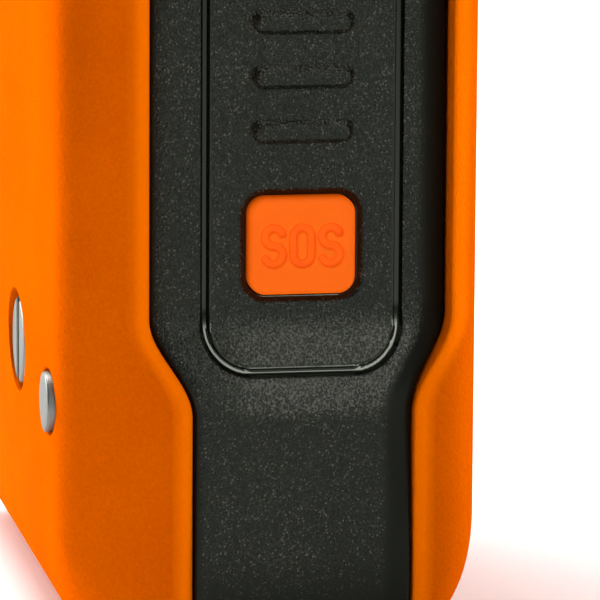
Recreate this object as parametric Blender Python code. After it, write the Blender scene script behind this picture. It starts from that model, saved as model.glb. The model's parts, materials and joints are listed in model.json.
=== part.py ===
"""Avalanche transceiver with a black mid frame between two orange shells.

Sizes are in millimetres and become metres where a mesh is made. The origin is the centre of the
bottom rest face, +Z runs up the body, -Y is the display side and -X the side with the SOS key.
"""
import math

import bmesh
import bpy
from mathutils import Matrix, Vector

MM = 0.001

# Driving dimensions of the body. A crown is its rise and the share of the way in that it takes.
WIDTH = 68.0
HEIGHT = 118.0
CORNER_RADIUS = 6.0
CORNER_SHRINK = 0.25
SIDE_ROLL = 3.3
END_ROLL = 10.0
FACE_EDGE = 16.05
FRONT_CROWN = (0.8, 0.3)
REAR_CROWN = (1.4, 1.0)
CROWN_SLOPE = math.radians(5.0)
WALL = 2.2
LIP = 1.1
LIP_DROP = 0.6

# Mid frame: where it meets the shells, how deep its side panels lie, and its inner wall.
REAR_PARTING = (5.8, 9.1)
FRONT_PARTING = (10.85, 13.65)
PARTING_STEP = (20.4, 27.8)
PANEL_STEP = (21.0, 28.6)
PANEL_DEPTH = 0.3
PANEL_DISH = 1.6
PANEL_EDGE = 0.5
PANEL_CHAMFER = 1.9
FOOT_EDGE = 0.15
FOOT_CHAMFER = 1.2
FRAME_INNER = 5.4
TONGUE_INSET = 3.5
TONGUE_RISE = 2.0
GAP = 0.3

# Side pads, their ribs and the SOS key.
PAD_Y = -2.55
PAD_WIDTH = 14.0
PAD_LOW = 23.9
PAD_HIGH = 75.2
PAD_RADIUS = 3.2
PAD_GROOVE = 0.7
PAD_FLOOR = 3.5
RIB_SIZE = (7.65, 1.7)
RIB_RISE = 0.6
RIB_PITCH = 4.1
RIB_FIRST = 41.6
RIB_COUNT = 8
SOS_HEIGHT = 33.0
SOS_SIZE = (8.15, 7.4)
SOS_RADIUS = 1.3
SOS_RISE = 0.35
SOS_THICK = 1.15
KEY_CLEARANCE = 0.35

# Front face: window, keys, sounder and status light.
WINDOW_SIZE = (50.0, 40.0)
WINDOW_HEIGHT = 80.0
VIEW_SIZE = (44.0, 34.0)
KEY_ROW = 44.0
KEY_SPREAD = 17.0
KEY_FACE = -17.4
SOUNDER_HEIGHT = 25.0
LIGHT_SPOT = (20.0, 104.0)

# Rear cover fasteners and contacts.
SCREW_SPOT = (16.3, 23.5)
SCREW_TOP = 16.8
SCREW_RADIUS = 3.35
RECESS_RADIUS = 4.0
STUD_SPOT = (29.0, 21.05)
STUD_TOP = 16.55
STUD_RADIUS = 2.3
PIN_SPOT = (27.2, 20.2)
HOUSING_SPOTS = ((-25.0, 16.0), (25.0, 16.0), (-25.0, 100.0), (25.0, 100.0))
HINGE_AXIS = (5.7, 117.6)

# Top: mode knob and lanyard bar.
KNOB_SPOT = (17.0, -2.5)
KNOB_RADIUS = 7.6
KNOB_LOW = 118.2
KNOB_HIGH = 125.0
LANYARD_X = (-25.5, -13.0)
LANYARD_Y = (-8.3, 3.3)
LANYARD_FLOOR = 109.7
LANYARD_BAR = 115.2

# Power.
CELL_RADIUS = 5.25
CELL_Y = 6.6
CELL_PITCH = 11.4
CELL_LOW = 38.0
CELL_LENGTH = 44.5


def clear_scene():
    for obj in list(bpy.data.objects):
        bpy.data.objects.remove(obj, do_unlink=True)


def material(name, colour, roughness=0.5, metallic=0.0):
    found = bpy.data.materials.get(name)
    if found:
        return found
    made = bpy.data.materials.new(name)
    made.use_nodes = True
    shader = made.node_tree.nodes["Principled BSDF"]
    shader.inputs["Base Color"].default_value = (*colour, 1.0)
    shader.inputs["Roughness"].default_value = roughness
    shader.inputs["Metallic"].default_value = metallic
    made.diffuse_color = (*colour, 1.0)
    return made


def orange_plastic():
    return material("orange_plastic", (0.87, 0.16, 0.004), 0.45)


def black_plastic():
    return material("black_plastic", (0.022, 0.024, 0.020), 0.5)


def black_rubber():
    return material("black_rubber", (0.020, 0.021, 0.019), 0.65)


def signal_orange():
    return material("signal_orange", (0.95, 0.13, 0.01), 0.5)


def seal_rubber():
    return material("seal_rubber", (0.25, 0.26, 0.27), 0.7)


def steel():
    return material("steel", (0.62, 0.62, 0.60), 0.25, 1.0)


def brass():
    return material("brass", (0.75, 0.55, 0.22), 0.3, 1.0)


def copper():
    return material("copper", (0.72, 0.30, 0.12), 0.35, 1.0)


def ferrite():
    return material("ferrite", (0.05, 0.05, 0.055), 0.6)


def board_green():
    return material("board_green", (0.02, 0.16, 0.07), 0.5)


def dark_glass():
    return material("dark_glass", (0.01, 0.012, 0.014), 0.08)


def grey_plastic():
    return material("grey_plastic", (0.18, 0.18, 0.17), 0.55)


def cell_label():
    return material("cell_label", (0.10, 0.22, 0.42), 0.4)


def add_object(name, bm, finish, sharp=40.0):
    """Turns a bmesh in millimetres into a named object, faces out and shaded smooth."""
    bmesh.ops.recalc_face_normals(bm, faces=bm.faces)
    bmesh.ops.scale(bm, vec=(MM, MM, MM), verts=bm.verts)
    mesh = bpy.data.meshes.new(name)
    bm.to_mesh(mesh)
    bm.free()
    mesh.shade_smooth()
    mesh.set_sharp_from_angle(angle=math.radians(sharp))
    obj = bpy.data.objects.new(name, mesh)
    bpy.context.scene.collection.objects.link(obj)
    if finish:
        mesh.materials.append(finish)
    return obj


def move_origin(obj, point):
    """Puts the object's origin on a point in millimetres and leaves its shape where it is."""
    place = Vector(point) * MM
    obj.data.transform(Matrix.Translation(-place))
    obj.location = place
    return obj


def loft(name, rings, finish, closed=False, sharp=40.0):
    """A solid through closed rings of equal length, capped at both ends or closed on itself."""
    bm = bmesh.new()
    made = [[bm.verts.new(point) for point in ring] for ring in rings]
    pairs = list(zip(made, made[1:]))
    if closed:
        pairs.append((made[-1], made[0]))
    for low, high in pairs:
        for i in range(len(low)):
            j = (i + 1) % len(low)
            bm.faces.new((low[i], low[j], high[j], high[i]))
    if not closed:
        bm.faces.new(made[0])
        bm.faces.new(made[-1])
    return add_object(name, bm, finish, sharp)


def rounded(size, radius, steps=3):
    """Corner points of a rounded rectangle about the origin, anticlockwise."""
    half_u, half_v = size[0] / 2, size[1] / 2
    points = []
    for quarter, (su, sv) in enumerate(((1, 1), (-1, 1), (-1, -1), (1, -1))):
        for step in range(steps + 1):
            angle = math.pi / 2 * (quarter + step / steps)
            u = su * (half_u - radius) + radius * math.cos(angle)
            v = sv * (half_v - radius) + radius * math.sin(angle)
            points.append((u, v))
    return points


def circle(radius, segments):
    turn = 2 * math.pi / segments
    return [(radius * math.cos(i * turn), radius * math.sin(i * turn)) for i in range(segments)]


def to_axis(axis, u, v, w):
    """A point with w along the axis and u, v across it."""
    return {"x": (w, u, v), "y": (u, w, v), "z": (u, v, w)}[axis]


def prism(name, outline, axis, centre, low, high, finish, sharp=40.0):
    """An outline about a centre (u, v), pushed along an axis from low to high."""
    rings = []
    for level in (low, high):
        rings.append([to_axis(axis, centre[0] + u, centre[1] + v, level) for u, v in outline])
    return loft(name, rings, finish, sharp=sharp)


def turned(name, profile, axis, centre, finish, segments=24, closed=False, sharp=40.0):
    """A body of revolution through (radius, level) pairs; closed makes a ring."""
    rings = []
    for radius, level in profile:
        rings.append([to_axis(axis, centre[0] + u, centre[1] + v, level)
                      for u, v in circle(radius, segments)])
    return loft(name, rings, finish, closed=closed, sharp=sharp)


def tube(name, outer, inner, axis, centre, low, high, finish, segments=24):
    profile = [(outer, low), (outer, high), (inner, high), (inner, low)]
    return turned(name, profile, axis, centre, finish, segments, closed=True)


def block(name, x, y, z, finish, radius=0.0):
    """A box between two limits on each axis, with its four Z edges rounded if asked."""
    size = (x[1] - x[0], y[1] - y[0])
    centre = ((x[0] + x[1]) / 2, (y[0] + y[1]) / 2)
    outline = rounded(size, radius) if radius else [
        (size[0] / 2 * u, size[1] / 2 * v) for u, v in ((1, 1), (-1, 1), (-1, -1), (1, -1))]
    return prism(name, outline, "z", centre, z[0], z[1], finish)


def combine(target, tool, operation):
    """Adds or removes a helper solid, which stays in the file as a hidden guide."""
    tool.hide_render = True
    tool.display_type = "WIRE"
    modifier = target.modifiers.new(tool.name, "BOOLEAN")
    modifier.operation = operation
    modifier.object = tool
    modifier.solver = "EXACT"
    return target


def cut(target, tool):
    return combine(target, tool, "DIFFERENCE")


def join(target, tool):
    return combine(target, tool, "UNION")


def smooth_step(value, low, high):
    part = min(max((value - low) / (high - low), 0.0), 1.0)
    return part * part * (3.0 - 2.0 * part)


def middle(z, step):
    """One along the body's middle and zero near either end, with a smooth step between."""
    return smooth_step(min(z, HEIGHT - z), *step)


def rear_parting(z):
    low, high = REAR_PARTING
    return low + (high - low) * middle(z, PARTING_STEP)


def front_parting(z):
    low, high = FRONT_PARTING
    return -(low + (high - low) * middle(z, PARTING_STEP))


def wall_inset(roll, y, offset=0.0):
    """How far the wall has rolled in at depth y, for a surface lying offset inside the hull."""
    start = FACE_EDGE - roll * math.cos(CROWN_SLOPE)
    radius = roll - offset
    past = min(max(abs(y) - start, 0.0), radius * math.cos(CROWN_SLOPE))
    return offset + radius - math.sqrt(radius * radius - past * past)


def stations():
    """Places round the body's outline: (kind, x sign, z sign, position) in one direction."""
    low, high = PARTING_STEP
    steps = [low + (high - low) * i / 4 for i in range(5)]
    heights = [CORNER_RADIUS, *steps, *(HEIGHT - z for z in reversed(steps)), HEIGHT - CORNER_RADIUS]
    span = HEIGHT - 2 * CORNER_RADIUS
    up = [(z - CORNER_RADIUS) / span for z in heights]
    angles = [math.pi / 2 * i / 4 for i in range(1, 4)]
    across = [0.0, 0.33, 0.67, 1.0]
    places = [("side", -1, 0, part) for part in up]
    places += [("corner", -1, 1, angle) for angle in angles]
    places += [("end", 0, 1, part) for part in across]
    places += [("corner", 1, 1, angle) for angle in reversed(angles)]
    places += [("side", 1, 0, part) for part in reversed(up)]
    places += [("corner", 1, -1, angle) for angle in angles]
    places += [("end", 0, -1, part) for part in reversed(across)]
    places += [("corner", -1, -1, angle) for angle in reversed(angles)]
    return places


def outline_ring(side, end, radius=None):
    """A closed ring round the body. side(z) and end give (inset, y) on its sides and its ends."""
    end_inset, end_y = end
    bend = radius or CORNER_RADIUS - CORNER_SHRINK * end_inset
    low, high = end_inset + bend, HEIGHT - end_inset - bend
    points = []
    for kind, x_sign, z_sign, part in stations():
        z = low + (high - low) * part
        side_inset, side_y = side(z if kind == "side" else 0.0)
        half = WIDTH / 2 - side_inset
        if kind == "side":
            points.append((x_sign * half, side_y, z))
        elif kind == "end":
            x = (half - bend) * (2 * part - 1)
            points.append((x, end_y, end_inset if z_sign < 0 else HEIGHT - end_inset))
        else:
            centre_z = high if z_sign > 0 else low
            x = x_sign * (half - bend + bend * math.cos(part))
            y = side_y + (end_y - side_y) * math.sin(part) ** 2
            points.append((x, y, centre_z + z_sign * bend * math.sin(part)))
    return points


def shell_rings(face, parting, crown):
    """Rings of one shell: over its crown, down the outer wall, round the rim and up the inside."""
    rim = GAP / 2
    edge = FACE_EDGE
    side_end = wall_inset(SIDE_ROLL, edge)
    end_end = wall_inset(END_ROLL, edge)
    bend = CORNER_RADIUS - CORNER_SHRINK * end_end
    reach = WIDTH / 2 - side_end
    rings = []
    rise_full, share = crown
    for part in (0.9, 0.5 * share + 0.2, 0.5 * share):
        rise = edge + rise_full * (1 - (1 - min(part / share, 1.0)) ** 2)
        half = WIDTH / 2 - side_end - part * reach
        radius = min(bend + (half - bend) * part, 0.85 * half)
        rings.append(outline_ring(lambda z: (side_end + part * reach, face * rise),
                                  (end_end + part * reach, face * rise), radius))
    for part in (1.0, 0.96, 0.84, 0.64, 0.38):
        rings.append(outline_ring(*wall_level(face, parting, LIP, part, 0.0)))
    rings.append(outline_ring(*wall_level(face, parting, LIP, 0.0, 0.0)))
    rings.append(outline_ring(*wall_level(face, parting, rim, 0.0, 0.0, LIP_DROP)))
    rings.append(outline_ring(*wall_level(face, parting, rim, 0.0, WALL)))
    for part in (0.5, 0.85, 1.0):
        rings.append(outline_ring(*wall_level(face, parting, rim, part, WALL)))
    return rings


def wall_level(face, parting, start, part, offset, drop=0.0):
    """(inset, y) on the sides and ends, part of the way from the rim to the face."""
    top = FACE_EDGE - offset * math.cos(CROWN_SLOPE)

    def level(roll, z):
        low = abs(parting(z)) + start
        y = low + (top - low) * part
        return wall_inset(roll, y, offset) + drop, face * y

    return (lambda z: level(SIDE_ROLL, z)), level(END_ROLL, 0.0)


def frame_sections():
    """Rings of the mid frame: outer surface from front to rear, then the tongue and inner wall."""
    def band(rear, step, depth):
        """A ring on the outer surface, a step in from one parting line."""
        def side(z):
            y = rear_parting(z) - GAP / 2 - step[0] if rear else front_parting(z) + GAP / 2 + step[0]
            dish = PANEL_DISH * middle(z, PANEL_STEP) + PANEL_DEPTH * middle(z, (8.0, 20.0))
            return wall_inset(SIDE_ROLL, y) + dish + depth[0], y
        y = rear_parting(0) - GAP / 2 - step[1] if rear else front_parting(0) + GAP / 2 + step[1]
        return outline_ring(side, (wall_inset(END_ROLL, y) + depth[1], y))

    def inside(inset, rise, rear):
        shift = rise - GAP / 2 if rear else rise + GAP / 2
        parting = rear_parting if rear else front_parting
        return outline_ring(lambda z: (inset, parting(z) + shift), (inset, parting(0) + shift))

    foot = FACE_EDGE - END_ROLL * math.cos(CROWN_SLOPE)
    flat = outline_ring(
        lambda z: (PANEL_DISH * middle(z, PANEL_STEP) + PANEL_DEPTH * middle(z, (8.0, 20.0)), -foot),
        (0.0, -foot))
    return [
        band(False, (0.0, 0.0), (PANEL_EDGE, FOOT_EDGE)),
        band(False, (PANEL_CHAMFER, FOOT_CHAMFER), (0.0, 0.0)),
        flat,
        band(True, (PANEL_CHAMFER, FOOT_CHAMFER), (0.0, 0.0)),
        band(True, (0.0, 0.0), (PANEL_EDGE, FOOT_EDGE)),
        inside(TONGUE_INSET, 0.0, True),
        inside(TONGUE_INSET, TONGUE_RISE, True),
        inside(FRAME_INNER, TONGUE_RISE, True),
        inside(FRAME_INNER, 0.0, False),
    ]


def make_front_shell():
    shell = loft("front_shell", shell_rings(-1, front_parting, FRONT_CROWN), orange_plastic())
    for index, spot in enumerate(HOUSING_SPOTS):
        post = turned(f"front_post_{index}", [(2.7, -14.3), (2.7, -5.8)], "y", spot, None, 16)
        join(shell, post)
        hole = turned(f"front_post_hole_{index}", [(1.45, -12.5), (1.45, -5.0)], "y", spot, None, 12)
        cut(shell, hole)
    centre = (0.0, WINDOW_HEIGHT)
    seat = rounded((WINDOW_SIZE[0] + 2 * GAP, WINDOW_SIZE[1] + 2 * GAP), 3.3)
    cut(shell, prism("window_seat_cut", seat, "y", centre, -19.0, -14.4, None))
    cut(shell, prism("window_view_cut", rounded(VIEW_SIZE, 1.5), "y", centre, -15.5, -12.0, None))
    for name, x, outline in key_outlines(KEY_CLEARANCE):
        cut(shell, prism(f"{name}_cut", outline, "y", (x, KEY_ROW), -19.0, -12.0, None))
    for index, (x, z) in enumerate(sounder_holes()):
        cut(shell, turned(f"sounder_hole_{index}", [(0.9, -19.0), (0.9, -12.0)], "y", (x, z), None, 10))
    cut(shell, turned("light_hole", [(1.8, -19.0), (1.8, -12.0)], "y", LIGHT_SPOT, None, 16))
    return shell


def sounder_holes():
    spots = [(0.0, SOUNDER_HEIGHT)]
    spots += [(u, SOUNDER_HEIGHT + v) for u, v in circle(4.0, 6)]
    return spots


def key_outlines(grow):
    """Each front key's name, place across the face and outline, grown by a clearance."""
    wide = rounded((13.0 + 2 * grow, 8.0 + 2 * grow), 3.0 + grow)
    return (
        ("key_down", -KEY_SPREAD, wide),
        ("key_flag", 0.0, circle(6.0 + grow, 24)),
        ("key_up", KEY_SPREAD, wide),
    )


def make_front_keys():
    """Each key is a cap through the shell with a flange that holds it in."""
    for name, x, outline in key_outlines(0.0):
        key = prism(name, outline, "y", (x, KEY_ROW), KEY_FACE, -13.0, black_rubber())
        flange = rounded((15.0, 13.5), 2.0)
        join(key, prism(f"{name}_flange", flange, "y", (x, KEY_ROW), -13.6, -12.8, None))
        move_origin(key, (x, KEY_FACE, KEY_ROW))


def make_display():
    centre = (0.0, WINDOW_HEIGHT)
    prism("display_window", rounded(WINDOW_SIZE, 3.0), "y", centre, -16.5, -15.4, dark_glass())
    gasket = prism("window_gasket", rounded((49.0, 39.0), 2.6), "y", centre, -15.1, -14.7, seal_rubber())
    cut(gasket, prism("window_gasket_cut", rounded((45.6, 35.6), 1.6), "y", centre, -16.0, -14.0, None))
    prism("display_module", rounded((43.0, 33.0), 1.0, 2), "y", centre, -13.0, -9.6, dark_glass())
    prism("key_mat", rounded((50.0, 15.0), 2.0, 2), "y", (0.0, KEY_ROW), -11.0, -9.9, seal_rubber())
    turned("sounder", [(10.5, -12.9), (10.5, -8.3)], "y", (0.0, SOUNDER_HEIGHT), black_plastic(), 20)
    guide = [(1.5, -16.5), (1.5, -12.9), (2.6, -12.9), (2.6, -11.9), (1.2, -11.9), (1.2, -8.0)]
    turned("status_light_guide", guide, "y", LIGHT_SPOT, grey_plastic(), 16)


def side_prism(name, sign, outline, low, high, finish, centre=(PAD_Y, 0.0)):
    """A prism along X on one side, measured by how far it lies inside the body's side plane."""
    levels = sorted((sign * (WIDTH / 2 - low), sign * (WIDTH / 2 - high)))
    return prism(name, outline, "x", centre, levels[0], levels[1], finish)


def pad_slab(name, sign):
    """A slab whose outer face follows the dished side panel."""
    steps = [PANEL_STEP[0] + (PANEL_STEP[1] - PANEL_STEP[0]) * i / 5 for i in range(6)]
    heights = [PAD_LOW - 4.0, *(z for z in steps if z > PAD_LOW - 4.0), PAD_HIGH + 4.0]
    rings = []
    for z in heights:
        outer = WIDTH / 2 - PANEL_DEPTH - PANEL_DISH * middle(z, PANEL_STEP)
        inner = WIDTH / 2 - PAD_FLOOR + GAP
        rings.append([(sign * x, y, z) for x, y in
                      ((outer, -12.0), (outer, 8.0), (inner, 8.0), (inner, -12.0))])
    return loft(name, rings, None)


def make_side_pad(name, sign, has_key):
    """A pad flush with the panel, with a row of raised grip ribs and perhaps the SOS key's hole."""
    centre = (PAD_Y, (PAD_LOW + PAD_HIGH) / 2)
    outline = rounded((PAD_WIDTH, PAD_HIGH - PAD_LOW), PAD_RADIUS)
    pad = side_prism(name, sign, outline, -3.0, PAD_FLOOR + 2.0, black_rubber(), centre)
    combine(pad, pad_slab(f"{name}_slab", sign), "INTERSECT")
    face = PANEL_DEPTH + PANEL_DISH
    for index in range(RIB_COUNT):
        spot = (PAD_Y, RIB_FIRST + index * RIB_PITCH)
        rib = side_prism(f"{name}_rib_{index}", sign, rounded(RIB_SIZE, 0.8, 2),
                         face - RIB_RISE, face + 0.5, None, spot)
        join(pad, rib)
    if has_key:
        hole = rounded((SOS_SIZE[0] + 2 * KEY_CLEARANCE, SOS_SIZE[1] + 2 * KEY_CLEARANCE),
                       SOS_RADIUS + KEY_CLEARANCE)
        spot = (PAD_Y, SOS_HEIGHT)
        cut(pad, side_prism(f"{name}_hole", sign, hole, -2.0, PAD_FLOOR + 1.0, None, spot))
    return pad


def make_sos_key():
    """The SOS key: a cap in the pad and a plunger through the frame to its switch."""
    face = PANEL_DEPTH + PANEL_DISH - SOS_RISE
    spot = (PAD_Y, SOS_HEIGHT)
    key = side_prism("sos_button", -1, rounded(SOS_SIZE, SOS_RADIUS), face, face + SOS_THICK,
                     signal_orange(), spot)
    join(key, side_prism("sos_plunger", -1, circle(1.5, 16), face + 0.5, 6.4, None, spot))
    move_origin(key, (-(WIDTH / 2 - face), PAD_Y, SOS_HEIGHT))
    side_prism("sos_switch", -1, rounded((6.0, 6.0), 0.5, 2), 7.2, 8.6, grey_plastic(), spot)
    side_prism("side_board", -1, rounded((8.8, 20.0), 0.5, 2), 8.9, 9.9, board_green(), (-1.4, 34.0))


def make_mid_frame():
    frame = loft("mid_frame", frame_sections(), black_plastic(), closed=True)
    pocket_size = (PAD_WIDTH + 2 * PAD_GROOVE, PAD_HIGH - PAD_LOW + 2 * PAD_GROOVE)
    pocket = rounded(pocket_size, PAD_RADIUS + PAD_GROOVE)
    centre = (PAD_Y, (PAD_LOW + PAD_HIGH) / 2)
    for label, sign in (("left", -1), ("right", 1)):
        cut(frame, side_prism(f"pad_pocket_{label}", sign, pocket, -3.0, PAD_FLOOR, None, centre))
        spot = (sign * SCREW_SPOT[0], SCREW_SPOT[1])
        arm = sorted((spot[0], sign * 29.5))
        join(frame, block(f"insert_arm_{label}", arm, (3.0, 7.7), (21.9, 27.6), None))
        join(frame, turned(f"insert_boss_{label}", [(4.1, 3.0), (4.1, 7.7)], "y", spot, None, 20))
        cut(frame, turned(f"insert_bore_{label}", [(3.2, 2.0), (3.2, 9.0)], "y", spot, None, 20))
    cut(frame, side_prism("sos_bore", -1, circle(2.0, 16), 2.5, 7.0, None, (PAD_Y, SOS_HEIGHT)))
    for index, (x, z) in enumerate(HOUSING_SPOTS):
        sides = sorted((math.copysign(22.0, x), math.copysign(29.5, x)))
        join(frame, block(f"ear_{index}", sides, (-5.5, -2.5), (z - 3.2, z + 3.2), None))
        cut(frame, turned(f"ear_hole_{index}", [(1.5, -6.5), (1.5, -1.5)], "y", (x, z), None, 12))
    cut_lanyard_notch(frame)
    cut(frame, turned("shaft_bore", [(3.0, 110.0), (3.0, 120.0)], "z", KNOB_SPOT, None, 20))
    cut(frame, turned("seal_bore", [(4.7, 115.6), (4.7, 120.0)], "z", KNOB_SPOT, None, 20))
    return frame


def cut_lanyard_notch(frame):
    """A thicker block under the top band, a notch in it, and the bar's two seats."""
    x = (LANYARD_X[0] - 2.0, LANYARD_X[1] + 2.0)
    y = (LANYARD_Y[0] - 1.4, LANYARD_Y[1] + 1.4)
    join(frame, block("lanyard_block", x, y, (LANYARD_FLOOR - 2.3, 115.0), None))
    cut(frame, block("lanyard_notch", LANYARD_X, LANYARD_Y, (LANYARD_FLOOR, 121.0), None, 2.0))
    bore = (LANYARD_X[0] - 1.6, LANYARD_X[1] + 1.6)
    spot = (PAD_Y, LANYARD_BAR)
    cut(frame, prism("lanyard_bore", circle(1.4, 16), "x", spot, bore[0], bore[1], None))


def make_top():
    """Lanyard bar, mode knob with its shaft and seal, and the rotary switch under them."""
    bar = (LANYARD_X[0] - 1.3, LANYARD_X[1] + 1.3)
    prism("lanyard_bar", circle(1.1, 16), "x", (PAD_Y, LANYARD_BAR), bar[0], bar[1], steel())
    knob = prism("mode_knob", knob_outline(), "z", KNOB_SPOT, KNOB_LOW, KNOB_HIGH, signal_orange())
    cut(knob, turned("knob_bore", [(2.8, KNOB_LOW - 1.0), (2.8, 121.0)], "z", KNOB_SPOT, None, 20))
    move_origin(knob, (*KNOB_SPOT, KNOB_LOW))
    shaft = turned("knob_shaft", [(2.5, 108.4), (2.5, 120.7)], "z", KNOB_SPOT, steel(), 20)
    move_origin(shaft, (*KNOB_SPOT, 108.4))
    ring = [(3.55 + u, 116.5 + v) for u, v in circle(0.55, 8)]
    turned("knob_seal", ring, "z", KNOB_SPOT, seal_rubber(), 20, closed=True)
    x, y = KNOB_SPOT
    switch = block("rotary_switch", (x - 6.5, x + 6.5), (y - 5.5, y + 5.5), (104.2, 111.6), grey_plastic())
    cut(switch, turned("switch_bore", [(2.9, 107.8), (2.9, 113.0)], "z", KNOB_SPOT, None, 20))


def knob_outline():
    """A round knob with twelve shallow finger flutes."""
    flutes = 12
    points = []
    for index in range(flutes * 4):
        angle = 2 * math.pi * index / (flutes * 4)
        radius = KNOB_RADIUS - 0.45 * (1 - math.cos(flutes * angle)) / 2
        points.append((radius * math.cos(angle), radius * math.sin(angle)))
    return points


def make_rear_cover():
    cover = loft("rear_cover", shell_rings(1, rear_parting, REAR_CROWN), orange_plastic())
    for label, sign in (("left", -1), ("right", 1)):
        screw = (sign * SCREW_SPOT[0], SCREW_SPOT[1])
        stud = (sign * STUD_SPOT[0], STUD_SPOT[1])
        recess = [(RECESS_RADIUS, 14.9), (RECESS_RADIUS, 20.0)]
        cut(cover, turned(f"screw_recess_{label}", recess, "y", screw, None, 28))
        cut(cover, turned(f"screw_hole_{label}", [(2.1, 12.0), (2.1, 15.5)], "y", screw, None, 20))
        hole = [(STUD_RADIUS + 0.2, 12.0), (STUD_RADIUS + 0.2, 20.0)]
        cut(cover, turned(f"stud_hole_{label}", hole, "y", stud, None, 20))
    return move_origin(cover, (0.0, *HINGE_AXIS))


def make_cover_hardware():
    """The coin screws with their clips and inserts, and the charge studs with their pins."""
    for label, sign in (("left", -1), ("right", 1)):
        spot = (sign * SCREW_SPOT[0], SCREW_SPOT[1])
        profile = [(1.3, 6.2), (1.3, 9.4), (1.7, 9.4), (1.7, 15.2), (SCREW_RADIUS, 15.2),
                   (SCREW_RADIUS, SCREW_TOP - 0.2), (SCREW_RADIUS - 0.2, SCREW_TOP)]
        screw = turned(f"coin_screw_{label}", profile, "y", spot, steel(), 20)
        slot = [(0.6 * u, 3.8 * v) for u, v in ((1, 1), (-1, 1), (-1, -1), (1, -1))]
        cut(screw, prism(f"coin_slot_{label}", slot, "y", spot, SCREW_TOP - 0.9, 18.0, None))
        move_origin(screw, (spot[0], SCREW_TOP, spot[1]))
        tube(f"screw_clip_{label}", 3.0, 2.0, "y", spot, 12.3, 13.0, steel(), 20)
        tube(f"screw_insert_{label}", 2.9, 2.0, "y", spot, 3.2, 7.9, brass(), 20)
        stud = (sign * STUD_SPOT[0], STUD_SPOT[1])
        head = [(2.2, 12.4), (2.2, 12.9), (1.6, 12.9), (1.6, 13.9), (STUD_RADIUS, 13.9),
                (STUD_RADIUS, STUD_TOP - 0.15), (STUD_RADIUS - 0.2, STUD_TOP)]
        turned(f"charge_stud_{label}", head, "y", stud, steel(), 16)
        pin = (sign * PIN_SPOT[0], PIN_SPOT[1])
        tip = [(1.1, 2.5), (1.1, 9.5), (0.7, 9.5), (0.7, 11.9), (0.4, 12.1)]
        turned(f"charge_pin_{label}", tip, "y", pin, brass(), 16)
    block("charge_board", (-28.2, 28.2), (1.2, 2.2), (17.4, 22.4), board_green())
    lift = TONGUE_RISE - GAP / 2 + GAP
    rings = []
    for inset, rise in ((4.2, lift), (4.2, lift + 0.9), (5.1, lift + 0.9), (5.1, lift)):
        rings.append(outline_ring(lambda z: (inset, rear_parting(z) + rise),
                                  (inset, rear_parting(0) + rise)))
    loft("cover_gasket", rings, seal_rubber(), closed=True)


def make_housing_screws():
    for index, spot in enumerate(HOUSING_SPOTS):
        profile = [(1.1, -12.0), (1.1, -2.2), (2.1, -2.2), (2.1, -1.0), (1.6, -0.5)]
        screw = turned(f"housing_screw_{index + 1}", profile, "y", spot, steel(), 16)
        cut(screw, turned(f"screw_drive_{index}", [(0.8, -1.4), (0.8, 0.5)], "y", spot, None, 6))


def make_electronics():
    block("main_board", (-20.5, 20.5), (-7.6, -6.4), (12.0, 103.0), board_green())
    block("shield_can", (-14.0, 14.0), (-6.1, -3.7), (64.0, 84.0), steel(), 1.0)
    block("radio_module", (-16.0, 4.0), (-6.1, -3.6), (36.0, 58.0), steel(), 0.6)
    block("satellite_antenna", (-20.0, -4.0), (-6.1, -2.1), (88.0, 104.0), ferrite(), 1.0)


def make_coil(label, axis, centre, core, winding):
    """A ferrite rod with a winding round its middle; core and winding are (radius, low, high)."""
    turned(f"antenna_{label}_core", [(core[0], core[1]), (core[0], core[2])], axis, centre, ferrite(), 16)
    tube(f"antenna_{label}_winding", winding[0], core[0] + GAP, axis, centre, winding[1], winding[2],
         copper(), 20)


def make_antennas():
    make_coil("x", "x", (6.0, 94.5), (3.0, -20.0, 20.0), (4.3, -13.0, 13.0))
    make_coil("y", "z", (24.0, 6.0), (2.6, 36.0, 80.0), (3.9, 45.0, 71.0))
    make_coil("z", "y", (-23.6, 62.0), (3.0, -3.0, 10.5), (4.3, -0.5, 8.0))


def make_power():
    """Battery tray, three cells, their springs and the plate that joins their tops."""
    low, high = CELL_LOW - 5.0, CELL_LOW + CELL_LENGTH + 2.3
    half = 1.5 * CELL_PITCH + 1.0
    tray = block("battery_tray", (-half, half), (-1.8, 11.0), (low - 2.0, high + 2.0), grey_plastic())
    cut(tray, block("tray_hollow", (1.0 - half, half - 1.0), (CELL_Y, 13.0), (low, high), None))
    for index in range(3):
        spot = (CELL_PITCH * (index - 1), CELL_Y)
        cut(tray, turned(f"tray_trough_{index}", [(5.6, low), (5.6, high)], "z", spot, None, 16))
        top = CELL_LOW + CELL_LENGTH
        cell = [(4.6, CELL_LOW), (CELL_RADIUS, CELL_LOW + 0.5), (CELL_RADIUS, top - 0.6),
                (CELL_RADIUS - 0.5, top), (1.9, top), (1.9, top + 0.8)]
        turned(f"battery_cell_{index + 1}", cell, "z", spot, cell_label(), 16)
        make_spring(f"contact_spring_{index + 1}", spot, low + 0.4, CELL_LOW - 0.4)
    block("contact_plate", (1.6 - half, half - 1.6), (CELL_Y + 0.3, 10.4), (high - 0.8, high - 0.3), brass())


def make_spring(name, spot, low, high):
    """A conical battery spring, narrower at the top."""
    turns, per_turn, wire = 3.5, 10, 0.28
    bottom, top = low + wire, high - wire
    count = int(turns * per_turn)
    rings = []
    for index in range(count + 1):
        part = index / count
        angle = 2 * math.pi * turns * part
        reach = 3.6 - 1.4 * part
        outward = Vector((math.cos(angle), math.sin(angle), 0.0))
        centre = Vector((spot[0], spot[1], bottom + (top - bottom) * part)) + outward * reach
        rings.append([centre + outward * u + Vector((0.0, 0.0, v)) for u, v in circle(wire, 5)])
    return loft(name, rings, steel(), sharp=80.0)


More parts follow.
